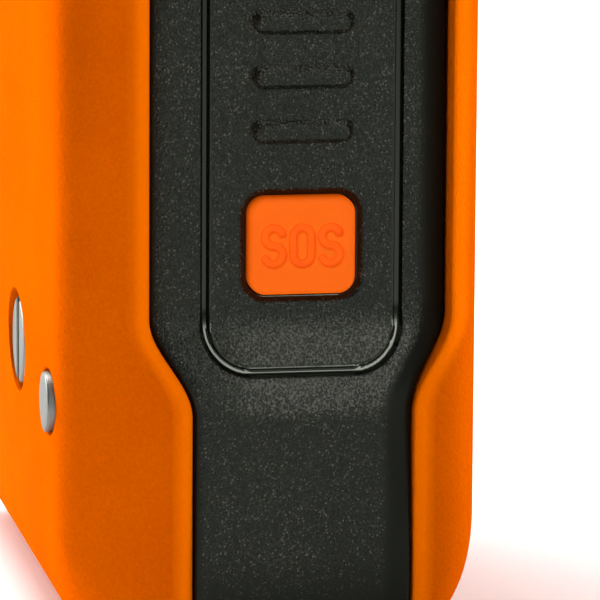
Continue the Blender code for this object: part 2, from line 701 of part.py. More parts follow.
def build():
    clear_scene()
    make_mid_frame()
    make_front_shell()
    make_rear_cover()
    make_side_pad("side_keypad", -1, True)
    make_side_pad("grip_pad", 1, False)
    make_sos_key()
    make_front_keys()
    make_display()
    make_top()
    make_cover_hardware()
    make_housing_screws()
    make_electronics()
    make_antennas()
    make_power()


build()
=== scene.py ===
"""The looks of the avalanche transceiver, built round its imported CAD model.

Lengths are in millimetres until a mesh is made. Places come from the CAD nodes' boxes; the body's
section is the CAD design's own, with the fine edges, textures and relief that it leaves out.
"""
import json
import math

import bmesh
import bpy
import numpy as np
from mathutils import Matrix, Vector


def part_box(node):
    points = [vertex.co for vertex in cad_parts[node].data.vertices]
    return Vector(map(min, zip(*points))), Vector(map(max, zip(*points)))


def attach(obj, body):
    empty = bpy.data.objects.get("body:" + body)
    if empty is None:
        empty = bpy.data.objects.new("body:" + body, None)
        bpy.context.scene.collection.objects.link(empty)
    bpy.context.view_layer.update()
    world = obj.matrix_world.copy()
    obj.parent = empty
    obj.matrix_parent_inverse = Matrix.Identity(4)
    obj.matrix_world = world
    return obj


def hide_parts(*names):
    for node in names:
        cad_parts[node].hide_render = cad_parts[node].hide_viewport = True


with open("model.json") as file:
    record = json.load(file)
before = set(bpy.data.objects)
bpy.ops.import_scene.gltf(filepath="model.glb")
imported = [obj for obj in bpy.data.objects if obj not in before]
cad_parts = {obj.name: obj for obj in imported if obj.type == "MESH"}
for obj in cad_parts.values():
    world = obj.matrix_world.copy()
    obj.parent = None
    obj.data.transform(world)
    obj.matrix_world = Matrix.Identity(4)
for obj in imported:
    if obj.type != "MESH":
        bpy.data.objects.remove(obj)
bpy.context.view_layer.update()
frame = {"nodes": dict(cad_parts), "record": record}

MM = 0.001
X, Y, Z = range(3)


def box_mm(node):
    low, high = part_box(node)
    return low / MM, high / MM


def mid(box, axis):
    return (box[0][axis] + box[1][axis]) / 2


def extent(box, axis):
    return box[1][axis] - box[0][axis]


FRAME_BOX = box_mm("mid_frame")
PAD_BOX = box_mm("side_keypad")
SOS_BOX = box_mm("sos_button")
WINDOW_BOX = box_mm("display_window")
KNOB_BOX = box_mm("mode_knob")
KNOB_CENTRE = (mid(KNOB_BOX, X), mid(KNOB_BOX, Y))
BAR_BOX = box_mm("lanyard_bar")
BAR_CENTRE = (mid(BAR_BOX, Y), mid(BAR_BOX, Z))

# The body's section. A crown is (rise, share of the half width); a lip is a shell edge's radius.
WIDTH = extent(FRAME_BOX, X)
HEIGHT = FRAME_BOX[1].z
CORNER_RADIUS = 6.0
CORNER_SHRINK = 0.25
SIDE_ROLL = 3.3
END_ROLL = 10.0
FACE_EDGE = 16.05
CROWN_SLOPE = math.radians(5.0)
FRONT_CROWN = (0.8, 0.3)
REAR_CROWN = (1.4, 1.0)
WALL = 2.2
REAR_LIP = 0.8
FRONT_LIP = 0.3
SEAM = 0.07

# The mid frame between the shells. A parting is (depth at the ends, depth along the middle), a step
# is where one level runs into the other, from either end, and a chamfer is (width, drop).
REAR_PARTING = (5.8, 9.1)
FRONT_PARTING = (10.85, 13.65)
PARTING_STEP = (20.4, 27.8)
PANEL_STEP = (21.0, 28.6)
PANEL_DEPTH = 0.3
PANEL_DISH = 1.6
SINK_STEP = (8.0, 20.0)
FRONT_CHAMFER = (2.0, 0.55)
REAR_CHAMFER = (1.1, 0.22)
FOOT_CHAMFER = (1.2, 0.15)
EDGE_ROUND = 0.3
FRAME_INNER = 5.4
TONGUE_INSET = 3.5
TONGUE_RISE = 2.0

# Side pads and the SOS key, across (y) and up (z).
PAD_Y, PAD_Z = mid(PAD_BOX, Y), mid(PAD_BOX, Z)
PAD_SIZE = (extent(PAD_BOX, Y), extent(PAD_BOX, Z))
PAD_RADIUS = 3.2
GROOVE = 0.7
GROOVE_DEPTH = 0.5
PAD_FLOOR = 3.5
RIB_SIZE = (7.65, 1.75)
RIB_RISE = 0.6
# How far below each rib's top the painted highlight along its upper edge runs.
RIB_HIGHLIGHT_DROP = 0.18
RIB_HEIGHTS = [41.6 + 4.1 * index for index in range(8)]
SOS_CENTRE = (mid(SOS_BOX, Y), mid(SOS_BOX, Z))
SOS_SIZE = (extent(SOS_BOX, Y), extent(SOS_BOX, Z))
SOS_RADIUS = 1.35
KEY_GAP = 0.14
PAD_CLEARANCE = 0.01
WELL_WIDTH = 0.7
WELL_DEPTH = 0.4

# The "grain" mark of a black piece: ordinary moulded grain at this value, and above it a painted
# highlight of paler, coarser specks.
FULL_GRAIN = 0.7
GRAIN_DEPTH = 0.065
BLACK_TINT = (0.0046, 0.0060, 0.0037)


# ---------------------------------------------------------------- meshes

def link_new(name, data):
    obj = bpy.data.objects.new(name, data)
    bpy.context.scene.collection.objects.link(obj)
    return obj


def make_object(name, bm, sharp=40.0):
    """A bmesh in millimetres becomes an object in metres, faces out, smooth where it is round."""
    bmesh.ops.remove_doubles(bm, verts=bm.verts, dist=1e-4)
    bmesh.ops.recalc_face_normals(bm, faces=bm.faces)
    bmesh.ops.scale(bm, vec=(MM, MM, MM), verts=bm.verts)
    mesh = bpy.data.meshes.new(name)
    bm.to_mesh(mesh)
    bm.free()
    shade(mesh, sharp)
    return link_new(name, mesh)


def shade(mesh, sharp):
    mesh.shade_smooth()
    mesh.set_sharp_from_angle(angle=math.radians(sharp))


def loft(name, rings, closed=False, sharp=40.0):
    """A solid through closed rings of equal length, capped at both ends or closed on itself."""
    bm = bmesh.new()
    made = [[bm.verts.new(point) for point in ring] for ring in rings]
    pairs = list(zip(made, made[1:]))
    if closed:
        pairs.append((made[-1], made[0]))
    for low, high in pairs:
        for i in range(len(low)):
            j = (i + 1) % len(low)
            bm.faces.new((low[i], low[j], high[j], high[i]))
    if not closed:
        bm.faces.new(made[0])
        bm.faces.new(made[-1])
    return make_object(name, bm, sharp)


def to_axis(axis, u, v, w):
    """A point from its two places across an axis and its level along it."""
    return {"x": (w, u, v), "y": (u, w, v), "z": (u, v, w)}[axis]


def circle(radius, segments):
    turn = 2 * math.pi / segments
    return [(radius * math.cos(i * turn), radius * math.sin(i * turn)) for i in range(segments)]


def rounded(size, radius, steps):
    """Points round a rounded rectangle about the origin."""
    half_u, half_v = size[0] / 2, size[1] / 2
    points = []
    for quarter, (su, sv) in enumerate(((1, 1), (-1, 1), (-1, -1), (1, -1))):
        for step in range(steps + 1):
            angle = math.pi / 2 * (quarter + step / steps)
            points.append((su * (half_u - radius) + radius * math.cos(angle),
                           sv * (half_v - radius) + radius * math.sin(angle)))
    return points


def turned(name, profile, axis, centre, segments=48, sharp=40.0):
    """A body of revolution through (radius, level) pairs."""
    rings = [[to_axis(axis, centre[0] + u, centre[1] + v, level) for u, v in circle(radius, segments)]
             for radius, level in profile]
    return loft(name, rings, sharp=sharp)


def block(name, x, y, z):
    """A box from its (low, high) pairs."""
    corners = [(x[1], y[1]), (x[0], y[1]), (x[0], y[0]), (x[1], y[0])]
    return loft(name, [[(u, v, level) for u, v in corners] for level in z])


def fillet(radius, steps=5):
    """Offsets (sideways, upwards) from a wall round its upper edge to the face above."""
    angles = [math.pi / 2 * i / steps for i in range(steps + 1)]
    return [(radius * (1 - math.cos(a)), radius * (math.sin(a) - 1)) for a in angles]


def round_mouth(radius, segments):
    """A circular outline for cutter."""
    return lambda grow: circle(radius + grow, segments)


def square_mouth(size, radius, steps):
    """An outline for cutter: a rectangle with rounded corners."""
    return lambda grow: rounded((size[0] + 2 * grow, size[1] + 2 * grow), radius + grow, steps)


def cutter(name, outline, axis, centre, floor, skin, edge, steps=5, past=2.0):
    """A hole's cutter with a rounded mouth. outline(grow) gives (u, v); skin(u, v) is the face's level.

    The cutter runs from floor towards the face and past it, on the face's side of the axis.
    """
    outward = 1.0 if skin(*centre) > floor else -1.0
    rings = [[to_axis(axis, centre[0] + u, centre[1] + v, floor) for u, v in outline(0.0)]]
    for grow, rise in fillet(edge, steps) + [(edge, past)]:
        ring = []
        for u, v in outline(grow):
            a, b = centre[0] + u, centre[1] + v
            ring.append(to_axis(axis, a, b, skin(a, b) + outward * rise))
        rings.append(ring)
    return loft(name, rings)


def merge(objects):
    """One object out of several, for a single Boolean."""
    bm = bmesh.new()
    for obj in objects:
        bm.from_mesh(obj.data)
        bpy.data.objects.remove(obj)
    mesh = bpy.data.meshes.new("tools")
    bm.to_mesh(mesh)
    bm.free()
    return link_new("tools", mesh)


def boolean(target, tools, operation="DIFFERENCE", sharp=40.0):
    """Cuts the tools out of the target, or joins them to it, and uses them up."""
    tool = merge(tools)
    modifier = target.modifiers.new("boolean", "BOOLEAN")
    modifier.operation = operation
    modifier.solver = "EXACT"
    modifier.object = tool
    depsgraph = bpy.context.evaluated_depsgraph_get()
    mesh = bpy.data.meshes.new_from_object(target.evaluated_get(depsgraph))
    target.modifiers.clear()
    target.data = mesh
    bpy.data.objects.remove(tool)
    shade(mesh, sharp)


def rounded_distance(u, v, half_u, half_v, radius):
    """Distance to a rounded rectangle's edge, negative inside."""
    du = np.abs(u) - (half_u - radius)
    dv = np.abs(v) - (half_v - radius)
    outside = np.hypot(np.maximum(du, 0.0), np.maximum(dv, 0.0))
    return outside + np.minimum(np.maximum(du, dv), 0.0) - radius


def ramp(value, low, high):
    """A smooth step from 0 to 1, for arrays and for numbers."""
    part = np.clip((value - low) / (high - low), 0.0, 1.0)
    return part * part * (3.0 - 2.0 * part)


def edge_drop(inside, radius):
    """How far a rounded edge lies below its face, at a distance inside the outline."""
    return radius - np.sqrt(np.maximum(radius ** 2 - np.maximum(radius - inside, 0.0) ** 2, 0.0))


def relief(name, size, radius, step, height, axis, centre, skin, outward, base, turns, sharp=60.0):
    """A rounded rectangle with a modelled top on an axis, and a flat underside at its base level.

    height(u, v, inside) rises outwards, +1 or -1 along the axis, from the level skin(u, v).
    """
    def place(u, v, h):
        a, b = centre[0] + u, centre[1] + v
        return to_axis(axis, a, b, skin(a, b) + outward * h)

    half_u, half_v = size[0] / 2, size[1] / 2
    angles = np.linspace(math.pi / 2, 0.0, turns)
    ends = half_v - radius + radius * np.sin(angles)
    widths = half_u - radius + radius * np.cos(angles)
    middle_rows = max(int(round(2 * (half_v - radius) / step)), 1)
    between = np.linspace(-(half_v - radius), half_v - radius, middle_rows + 1)[1:-1]
    v_rows = np.concatenate([-ends, between, ends[::-1]])
    w_rows = np.concatenate([widths, np.full(len(between), half_u), widths[::-1]])
    part = np.linspace(-1.0, 1.0, int(round(2 * half_u / step)) + 1)
    unit = np.sign(part) * (1.0 - (1.0 - np.abs(part)) ** 1.15)
    u = np.outer(w_rows, unit)
    v = np.repeat(v_rows[:, None], len(unit), axis=1)
    h = height(u, v, -rounded_distance(u, v, half_u, half_v, radius))
    rows, columns = u.shape
    bm = bmesh.new()
    top = [[bm.verts.new(place(u[i, j], v[i, j], h[i, j])) for j in range(columns)]
           for i in range(rows)]
    for i in range(rows - 1):
        for j in range(columns - 1):
            bm.faces.new((top[i][j], top[i][j + 1], top[i + 1][j + 1], top[i + 1][j]))
    edge = [(0, j) for j in range(columns)] + [(i, columns - 1) for i in range(1, rows)]
    edge += [(rows - 1, j) for j in range(columns - 2, -1, -1)]
    edge += [(i, 0) for i in range(rows - 2, 0, -1)]
    foot = [bm.verts.new(to_axis(axis, centre[0] + u[i, j], centre[1] + v[i, j], base)) for i, j in edge]
    for k in range(len(edge)):
        n = (k + 1) % len(edge)
        bm.faces.new((top[edge[k][0]][edge[k][1]], top[edge[n][0]][edge[n][1]], foot[n], foot[k]))
    bm.faces.new(foot)
    return make_object(name, bm, sharp)


def piece(obj, body, finish, slot, *replaced):
    """Places a finished piece: its material, its body and the CAD nodes it stands for. The slot is not
    used.
    """
    obj.data.materials.clear()
    obj.data.materials.append(finish)
    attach(obj, body)
    if replaced:
        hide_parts(*replaced)


def mark_grain_and_light(obj, grain):
    """Stores grain(x, y, z), in millimetres, at each vertex for the material to read.

    It is the strength of the moulded grain on a black piece, with a painted highlight where it runs above
    FULL_GRAIN;
    the pale rim on an orange shell, which is a painted highlight; and the painted shade along the SOS
    key's letters.
    """
    count = len(obj.data.vertices)
    flat = np.empty(count * 3)
    obj.data.vertices.foreach_get("co", flat)
    points = flat.reshape(-1, 3) / MM
    # The attribute holds moulded grain, and also painted highlight and painted shade.
    attribute = obj.data.attributes.get("grain") or obj.data.attributes.new("grain", "FLOAT", "POINT")
    values = np.clip(grain(points[:, 0], points[:, 1], points[:, 2]), 0.0, 1.0)
    attribute.data.foreach_set("value", values.astype(np.float32))


# ---------------------------------------------------------------- the body's section

def middle(z, step):
    """One along the body's middle and zero near either end, with a smooth step between."""
    return ramp(np.minimum(z, HEIGHT - z), *step)


def rear_parting(z):
    low, high = REAR_PARTING
    return low + (high - low) * middle(z, PARTING_STEP)


def front_parting(z):
    low, high = FRONT_PARTING
    return -(low + (high - low) * middle(z, PARTING_STEP))


def wall_inset(roll, y, offset=0.0):
    """How far the wall has rolled in at depth y, for a surface lying offset inside the hull."""
    start = FACE_EDGE - roll * math.cos(CROWN_SLOPE)
    radius = roll - offset
    past = min(max(abs(y) - start, 0.0), radius * math.cos(CROWN_SLOPE))
    return offset + radius - math.sqrt(radius * radius - past * past)


def panel_sink(z):
    """How deep the frame's side panel lies at a height, away from its chamfers."""
    return PANEL_DISH * middle(z, PANEL_STEP) + PANEL_DEPTH * middle(z, SINK_STEP)


def side_heights():
    """Heights of the stations up a side, close together where the parting line swings."""
    steps = [*np.arange(CORNER_RADIUS, 19.0, 1.6), *np.arange(19.2, 29.4, 0.45),
             *np.arange(30.5, HEIGHT / 2, 2.5)]
    return [*steps, *(HEIGHT - z for z in reversed(steps))]


def stations():
    """Places round the body's outline: (kind, x sign, z sign, position) in one direction."""
    span = HEIGHT - 2 * CORNER_RADIUS
    up = [(z - CORNER_RADIUS) / span for z in side_heights()]
    angles = [math.pi / 2 * i / 14 for i in range(1, 14)]
    across = [i / 16 for i in range(17)]
    places = [("side", -1, 0, part) for part in up]
    places += [("corner", -1, 1, angle) for angle in angles]
    places += [("end", 0, 1, part) for part in across]
    places += [("corner", 1, 1, angle) for angle in reversed(angles)]
    places += [("side", 1, 0, part) for part in reversed(up)]
    places += [("corner", 1, -1, angle) for angle in angles]
    places += [("end", 0, -1, part) for part in reversed(across)]
    places += [("corner", -1, -1, angle) for angle in reversed(angles)]
    return places


STATIONS = stations()


def outline_ring(side, end, radius=None):
    """A closed ring round the body. side(z) and end give (inset, y) on its sides and its ends."""
    end_inset, end_y = end
    bend = radius or CORNER_RADIUS - CORNER_SHRINK * end_inset
    low, high = end_inset + bend, HEIGHT - end_inset - bend
    points = []
    for kind, x_sign, z_sign, part in STATIONS:
        z = low + (high - low) * part
        side_inset, side_y = side(z if kind == "side" else 0.0)
        half = WIDTH / 2 - side_inset
        if kind == "side":
            points.append((x_sign * half, side_y, z))
        elif kind == "end":
            x = (half - bend) * (2 * part - 1)
            points.append((x, end_y, end_inset if z_sign < 0 else HEIGHT - end_inset))
        else:
            centre_z = high if z_sign > 0 else low
            x = x_sign * (half - bend + bend * math.cos(part))
            y = side_y + (end_y - side_y) * math.sin(part) ** 2
            points.append((x, y, centre_z + z_sign * bend * math.sin(part)))
    return points


def wall_level(face, parting, start, part, offset, drop=0.0):
    """(inset, y) on the sides and ends, part of the way from the rim to the face."""
    top = FACE_EDGE - offset * math.cos(CROWN_SLOPE)

    def level(roll, z):
        low = abs(parting(z)) + start
        y = low + (top - low) * part
        return wall_inset(roll, y, offset) + drop, face * y

    return (lambda z: level(SIDE_ROLL, z)), level(END_ROLL, 0.0)


def crown_rise(crown, part):
    rise, share = crown
    return rise * (1.0 - (1.0 - min(part / share, 1.0)) ** 2)


def shell_rings(face, parting, crown, lip):
    """Rings of one shell: over its crown, down the wall, round the lip and up the inside."""
    side_end = wall_inset(SIDE_ROLL, FACE_EDGE)
    end_end = wall_inset(END_ROLL, FACE_EDGE)
    bend = CORNER_RADIUS - CORNER_SHRINK * end_end
    reach = WIDTH / 2 - side_end
    rings = []
    for step in range(17, 0, -1):
        part = 0.97 * (step / 17) ** 1.3
        half = reach * (1.0 - part)
        level = face * (FACE_EDGE + crown_rise(crown, part))
        radius = min(bend + (half - bend) * part, 0.9 * half)
        rings.append(outline_ring(lambda z: (side_end + part * reach, level),
                                  (end_end + part * reach, level), radius))
    for step in range(18, -1, -1):
        part = 1.0 - (1.0 - step / 18) ** 1.8
        rings.append(outline_ring(*wall_level(face, parting, lip + SEAM, part, 0.0)))
    for sideways, down in reversed(fillet(lip, 7)[:-1]):
        rings.append(outline_ring(*wall_level(face, parting, sideways + SEAM, 0.0, 0.0, -down)))
    for part in (0.0, 0.3, 0.55, 0.75, 0.9, 1.0):
        rings.append(outline_ring(*wall_level(face, parting, SEAM, part, WALL)))
    return rings


def crown_y(x, crown):
    """Level of the crowned face away from the ends, at a place across the body."""
    side_end = wall_inset(SIDE_ROLL, FACE_EDGE)
    part = max((WIDTH / 2 - abs(x) - side_end) / (WIDTH / 2 - side_end), 0.0)
    return FACE_EDGE + crown_rise(crown, part)


def chamfer_drop(distance, chamfer):
    """Drop of the panel's edge: a flat chamfer blended into the panel, with a rounded rim."""
    width, drop = chamfer
    slope = drop / width
    blend = 0.35
    past = width - distance
    if past <= -blend:
        fall = 0.0
    elif past >= blend:
        fall = slope * past
    else:
        fall = slope * (past + blend) ** 2 / (4 * blend)
    return fall + edge_drop(distance, EDGE_ROUND)


def frame_rings():
    """Rings of the mid frame: its outer surface from front to rear, then tongue and inner wall."""
    near_edge = [0.0, 0.03, 0.09, 0.18, 0.3, 0.6, 0.9, 1.2, 1.5, 1.8, 2.1, 2.4, 2.8]

    def band(distance, rear):
        chamfer = REAR_CHAMFER if rear else FRONT_CHAMFER

        def edge(z):
            return rear_parting(z) - SEAM - distance if rear else front_parting(z) + SEAM + distance

        def side(z):
            share = middle(z, SINK_STEP)
            drop = share * chamfer_drop(distance, chamfer)
            drop += (1.0 - share) * chamfer_drop(distance, FOOT_CHAMFER)
            return wall_inset(SIDE_ROLL, edge(z)) + panel_sink(z) + drop, edge(z)

        end = wall_inset(END_ROLL, edge(0.0)) + chamfer_drop(distance, FOOT_CHAMFER)
        return outline_ring(side, (end, edge(0.0)))

    rings = [band(distance, False) for distance in near_edge]
    foot = FACE_EDGE - END_ROLL * math.cos(CROWN_SLOPE)
    for y in np.linspace(-7.2, 2.4, 13):
        inset = wall_inset(END_ROLL, y) if abs(y) > foot else 0.0
        rings.append(outline_ring(lambda z: (panel_sink(z), y), (inset, y)))
    rings += [band(distance, True) for distance in reversed(near_edge)]

    def inside(inset, rise, rear):
        parting = rear_parting if rear else front_parting
        return outline_ring(lambda z: (inset, parting(z) + rise), (inset, parting(0.0) + rise))

    tongue = [(TONGUE_INSET, -SEAM), (TONGUE_INSET, TONGUE_RISE - 0.4),
              (TONGUE_INSET + 0.25, TONGUE_RISE - 0.15), (FRAME_INNER, TONGUE_RISE - 0.15)]
    rings += [inside(inset, rise, True) for inset, rise in tongue]
    return rings + [inside(FRAME_INNER, SEAM, False)]


# ---------------------------------------------------------------- materials

def feed(socket, value):
    """Links an output to a socket, or sets the socket to a plain value."""
    if isinstance(value, bpy.types.NodeSocket):
        socket.id_data.links.new(value, socket)
    else:
        socket.default_value = value


def feed_all(node, inputs):
    """Feeds a node's inputs by name, and hands the node back."""
    for key, value in inputs.items():
        feed(node.inputs[key], value)
    return node


def add(tree, kind, inputs, **settings):
    node = tree.nodes.new(kind)
    for key, value in settings.items():
        setattr(node, key, value)
    return feed_all(node, inputs)


def start(name, inputs=None):
    """A new material, its shader with these inputs set, and the piece's own coordinates."""
    material = bpy.data.materials.new(name)
    material.use_nodes = True
    tree = material.node_tree
    shader = feed_all(tree.nodes["Principled BSDF"], inputs or {})
    return material, shader, add(tree, "ShaderNodeTexCoord", {}).outputs["Object"]


def dress(shader, tint, roughness, normal):
    feed_all(shader, {"Base Color": tint, "Roughness": roughness, "Normal": normal})


def noise(here, scale, detail=3.0, roughness=0.5):
    inputs = {"Vector": here, "Scale": scale, "Detail": detail, "Roughness": roughness}
    return add(here.id_data, "ShaderNodeTexNoise", inputs).outputs["Fac"]


def cells(here, scale, **settings):
    """Distance from the nearest cell's middle, unless the settings say otherwise."""
    node = add(here.id_data, "ShaderNodeTexVoronoi", {"Vector": here, "Scale": scale}, **settings)
    return node.outputs["Distance"]


def colours(value, stops):
    """A colour for the value, through (value, colour) stops."""
    node = add(value.id_data, "ShaderNodeValToRGB", {"Fac": value})
    elements = node.color_ramp.elements
    while len(elements) < len(stops):
        elements.new(0.5)
    for element, (place, colour) in zip(elements, stops):
        element.position = place
        element.color = (*colour, 1.0)
    return node.outputs["Color"]


def spread(value, low, high, from_low=0.0, from_high=1.0):
    """The value's range from_low to from_high stretched to low to high, and held there."""
    inputs = {"Value": value, "From Min": from_low, "From Max": from_high, "To Min": low, "To Max": high}
    return add(value.id_data, "ShaderNodeMapRange", inputs).outputs["Result"]


def maths(operation, first, second):
    node = add(first.id_data, "ShaderNodeMath", {0: first, 1: second}, operation=operation)
    return node.outputs[0]


def mixed(*parts):
    """The sum of (value, weight) parts."""
    shares = [value if weight == 1 else maths("MULTIPLY", value, weight) for value, weight in parts]
    total = shares[0]
    for share in shares[1:]:
        total = maths("ADD", total, share)
    return total


def bump(height, strength, depth):
    """A normal for relief that is depth millimetres deep."""
    inputs = {"Height": height, "Strength": strength, "Distance": depth * MM}
    return add(height.id_data, "ShaderNodeBump", inputs).outputs["Normal"]


def grain_and_light_mark(here):
    return add(here.id_data, "ShaderNodeAttribute", {}, attribute_name="grain").outputs["Fac"]


def split(here):
    """Places across, along and up."""
    return add(here.id_data, "ShaderNodeSeparateXYZ", {"Vector": here}).outputs


def orange_shell():
    """Orange shell plastic: very fine moulded grain, faint clouding, and a paler rim along the parting
    line that is a painted highlight.
    """
    material, shader, here = start("orange_shell", {
        "Metallic": 0.1, "Specular IOR Level": 0.0, "Specular Tint": (1.0, 0.42, 0.03, 1.0)})
    cloud = noise(here, 90.0, 2.0)
    fine = noise(here, 4600.0, 2.0, 0.6)
    # The mark is the band along the parting line; the palest stop lightens it as a painted highlight.
    value = mixed((cloud, 0.25), (fine, 0.25), (grain_and_light_mark(here), 0.5))
    tint = colours(value, ((0.18, (0.67, 0.098, 0.0)), (0.31, (0.78, 0.122, 0.0)),
                           (0.74, (1.0, 0.178, 0.0))))
    height = mixed((fine, 1), (noise(here, 1500.0, 2.0), 0.8))
    dress(shader, tint, spread(fine, 0.36, 0.56), bump(height, 0.8, 0.09))
    return material


def black_grain_and_glint(name, smooth_gloss, smooth_roughness):
    """A black moulded surface with small rounded grains that fade where it was left smooth; the grains'
    glints are painted highlights in its colour.

    The mark gives share, the ordinary grain's strength, and above FULL_GRAIN it adds paler, coarser
    specks painted as a highlight where the side steps down.
    """
    material, shader, here = start(name, {"Specular Tint": (0.95, 1.0, 0.86, 1.0)})
    mark = grain_and_light_mark(here)
    share = spread(mark, 0.0, 1.0, 0.0, FULL_GRAIN)
    step_highlight = spread(mark, 0.0, 1.0, FULL_GRAIN, 1.0)
    feed(shader.inputs["Specular IOR Level"], spread(share, smooth_gloss, 0.3))
    speck = noise(here, 5600.0, 1.0, 0.6)
    lump = noise(here, 2400.0, 2.0, 0.5)
    crowd = spread(noise(here, 1300.0, 1.0), 0.55, 1.0, 0.34, 0.56)
    dome = maths("MULTIPLY", spread(cells(here, 3400.0), 1.0, 0.0, 0.0, 0.46), crowd)
    height = mixed((dome, 0.6), (speck, 1), (lump, 0.5))
    wear = noise(here, 160.0, 3.0)
    # Painted highlight: the tops of the crowded domes, and some specks, lighten the colour as glints.
    painted_glint = maths("MULTIPLY", spread(dome, 0.0, 1.0, 0.3, 0.58), share)
    glint_crowd = maths("MULTIPLY", crowd, share)
    speck_glint = maths("MULTIPLY", spread(speck, 0.0, 1.0, 0.5, 0.72), glint_crowd)
    painted_glint = maths("MAXIMUM", painted_glint, maths("MULTIPLY", speck_glint, 0.55))
    # Painted highlight: paler specks where the side steps down to the panel.
    step_glint = spread(speck, 0.22, 0.6, 0.42, 0.64)
    value = mixed((wear, 0.3), (painted_glint, 0.7), (step_glint, step_highlight))
    low = tuple(0.8 * part for part in BLACK_TINT)
    # The two upper stops are the colours of the painted glints.
    stops = ((0.1, low), (0.25, BLACK_TINT), (0.55, (0.032, 0.034, 0.028)),
             (1.0, (0.115, 0.115, 0.105)))
    polish = maths("MULTIPLY", spread(speck, 0.03, 0.17), share)
    roughness = maths("ADD", polish, spread(share, smooth_roughness, 0.18))
    dress(shader, colours(value, stops), roughness, bump(height, share, GRAIN_DEPTH))
    return material


def signal_plastic(name, tint, painted_glow):
    """Bright key plastic with a powdery matt face; its emission is a painted glow that makes it brighter
    than its light, and its darkest tone is painted shade along the letters.
    """
    material, shader, here = start(name, {"Specular IOR Level": 0.1, "Emission Strength": painted_glow})
    cloud = noise(here, 700.0, 3.0)
    value = mixed((cloud, 0.4), (grain_and_light_mark(here), 0.6))
    low = tuple(0.95 * part for part in tint)
    # Painted shade along the walls of the cut letters.
    cut = (0.86 * tint[0], 0.52 * tint[1], 0.8 * tint[2])
    pigment = colours(value, ((0.15, low), (0.3, tint), (0.9, cut)))
    # Painted glow: the plastic emits its own colour, though it is no lamp.
    feed(shader.inputs["Emission Color"], pigment)
    fine = noise(here, 3600.0, 2.0)
    dress(shader, pigment, spread(fine, 0.42, 0.6), bump(fine, 0.4, 0.012))
    return material


def metal(name, tint, roughness, scratch=0.006, stretch=(1.0, 1.0, 1.0)):
    """Machined metal with fine tool marks and a slightly uneven polish."""
    material, shader, here = start(name, {"Metallic": 1.0, "Specular Tint": (0.6, 0.6, 0.6, 1.0)})
    mapping = add(here.id_data, "ShaderNodeMapping", {"Vector": here, "Scale": stretch})
    marks = noise(mapping.outputs["Vector"], 2500.0, 3.0)
    smear = noise(here, 420.0, 3.0)
    low = tuple(0.86 * part for part in tint)
    dress(shader, colours(smear, ((0.3, low), (0.7, tint))),
          spread(smear, 0.75 * roughness, 1.3 * roughness), bump(marks, 0.5, scratch))
    return material


def moulding(name, tints, cloud, fine, sheen, even, strength, depth):
    """A plain moulding: clouded colour, and fine relief. The sheen follows the cloud if it is even."""
    material, shader, here = start(name)
    cloud, fine = noise(here, *cloud), noise(here, *fine)
    tint = colours(cloud, ((0.3, tints[0]), (0.7, tints[1])))
    dress(shader, tint, spread(cloud if even else fine, *sheen), bump(fine, strength, depth))
    return material


def ferrite_ceramic():
    """Sintered ferrite: near black, matt and slightly pitted, darker in the pits as painted shade."""
    material, shader, here = start("ferrite_ceramic")
    pits = cells(here, 2600.0)
    # Painted shade: the colour darkens towards each pit's middle.
    tint = colours(pits, ((0.0, (0.02, 0.02, 0.022)), (0.6, (0.06, 0.06, 0.065))))
    dress(shader, tint, spread(noise(here, 900.0), 0.5, 0.75), bump(pits, 0.4, 0.02))
    return material


def copper_winding():
    """Enamelled copper wire: fine ridges, one for each turn, with a warm lacquer, darker in the grooves
    between turns as painted shade.
    """
    material, shader, here = start("copper_winding", {"Metallic": 1.0})
    inputs = {"Vector": here, "Scale": 700.0, "Distortion": 0.4}
    turns = add(here.id_data, "ShaderNodeTexWave", inputs, wave_type="BANDS",
                bands_direction="DIAGONAL").outputs["Fac"]
    # Painted shade: the colour darkens in the grooves between the turns.
    tint = colours(turns, ((0.1, (0.30, 0.10, 0.03)), (0.6, (0.80, 0.36, 0.13))))
    dress(shader, tint, spread(noise(here, 900.0), 0.22, 0.4), bump(turns, 0.6, 0.08))
    return material


def circuit_board():
    """Green solder mask over a net of copper tracks, with bare pads here and there."""
    material, shader, here = start("circuit_board")
    tracks = cells(here, 330.0, feature="DISTANCE_TO_EDGE", distance="CHEBYCHEV")
    tint = colours(tracks, ((0.04, (0.035, 0.20, 0.085)), (0.09, (0.008, 0.085, 0.032))))
    dress(shader, tint, spread(noise(here, 500.0), 0.25, 0.42), bump(tracks, 0.3, 0.03))
    return material


def cell_sleeve():
    """A battery's printed sleeve: a plain band of grey below dark blue, lightly scuffed."""
    material, shader, here = start("cell_sleeve")
    low, high = box_mm("battery_cell_1")
    height = spread(split(here)["Z"], 0.0, 1.0, low.z * MM, high.z * MM)
    scuff = noise(here, 800.0, 4.0)
    height = mixed((height, 1), (scuff, 0.004))
    stops = ((0.0, (0.55, 0.55, 0.54)), (0.035, (0.02, 0.05, 0.14)), (0.68, (0.02, 0.05, 0.14)),
             (0.69, (0.45, 0.46, 0.48)), (0.955, (0.45, 0.46, 0.48)), (0.96, (0.62, 0.61, 0.58)))
    dress(shader, colours(height, stops), spread(scuff, 0.2, 0.42), bump(scuff, 0.2, 0.02))
    return material


